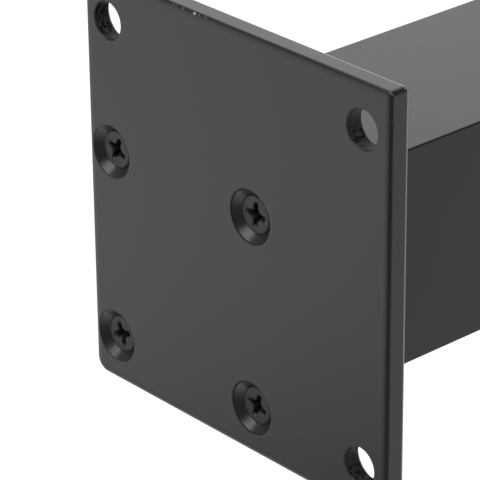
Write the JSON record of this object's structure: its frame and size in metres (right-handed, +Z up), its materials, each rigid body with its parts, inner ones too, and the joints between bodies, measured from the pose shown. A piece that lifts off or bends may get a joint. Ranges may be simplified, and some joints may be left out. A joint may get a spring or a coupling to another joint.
{
  "type": "adjustable sofa leg",
  "caption": "Square black furniture leg under an offset screw-on mounting plate, with a screw-down levelling foot.",
  "frame": {"origin": "middle of the mounting plate's outline, at floor level under the foot pad", "axes": "+Z up along the tube and out of the mounting plate's top face, +X along the plate's 90 mm width away from the corner that carries the tube, +Y along its 92.7 mm depth away from the same corner"},
  "size_m": [0.09, 0.0926, 0.1483],
  "materials": {
    "plate_coat": "satin black powder coat on steel, fine grain, worn bright at a few edge spots",
    "tube_coat": "satin black powder coat on an aluminium extrusion",
    "screw_black": "black coated steel, slightly glossy",
    "plug_plastic": "moulded black plastic with a fine spark texture",
    "zinc_steel": "bright zinc-plated steel with turning marks",
    "spring_steel": "oiled spring steel",
    "foot_plastic": "moulded black plastic with a fine spark texture",
    "pad_rubber": "matt dark grey non-slip rubber"
  },
  "bodies": {
    "leg": {"mounting_plate": "plate_coat", "leg_tube": "tube_coat", "plate_screw_1": "screw_black", "plate_screw_2": "screw_black", "plate_screw_3": "screw_black", "plate_screw_4": "screw_black", "end_plug": "plug_plastic", "plug_nut": "zinc_steel"},
    "foot": {"foot_base": "foot_plastic", "foot_pad": "pad_rubber"},
    "stud": {"foot_stud": "zinc_steel", "foot_retainer": "spring_steel"}
  },
  "joints": [
    {"name": "foot_extend", "type": "slide", "parent": "leg", "child": "foot", "axis": [0, 0, -1], "range_m": [0, 0.0195]},
    {"name": "stud_turn", "type": "hinge", "parent": "foot", "child": "stud", "pos_m": [-0.0163, -0.0144, 0.0167], "axis": [0, 0, -1], "range_deg": [0, 4680]}
  ],
  "couplings": [
    {"joint": "stud_turn", "follows": "foot_extend", "rad_per_m": 4188.8}
  ]
}
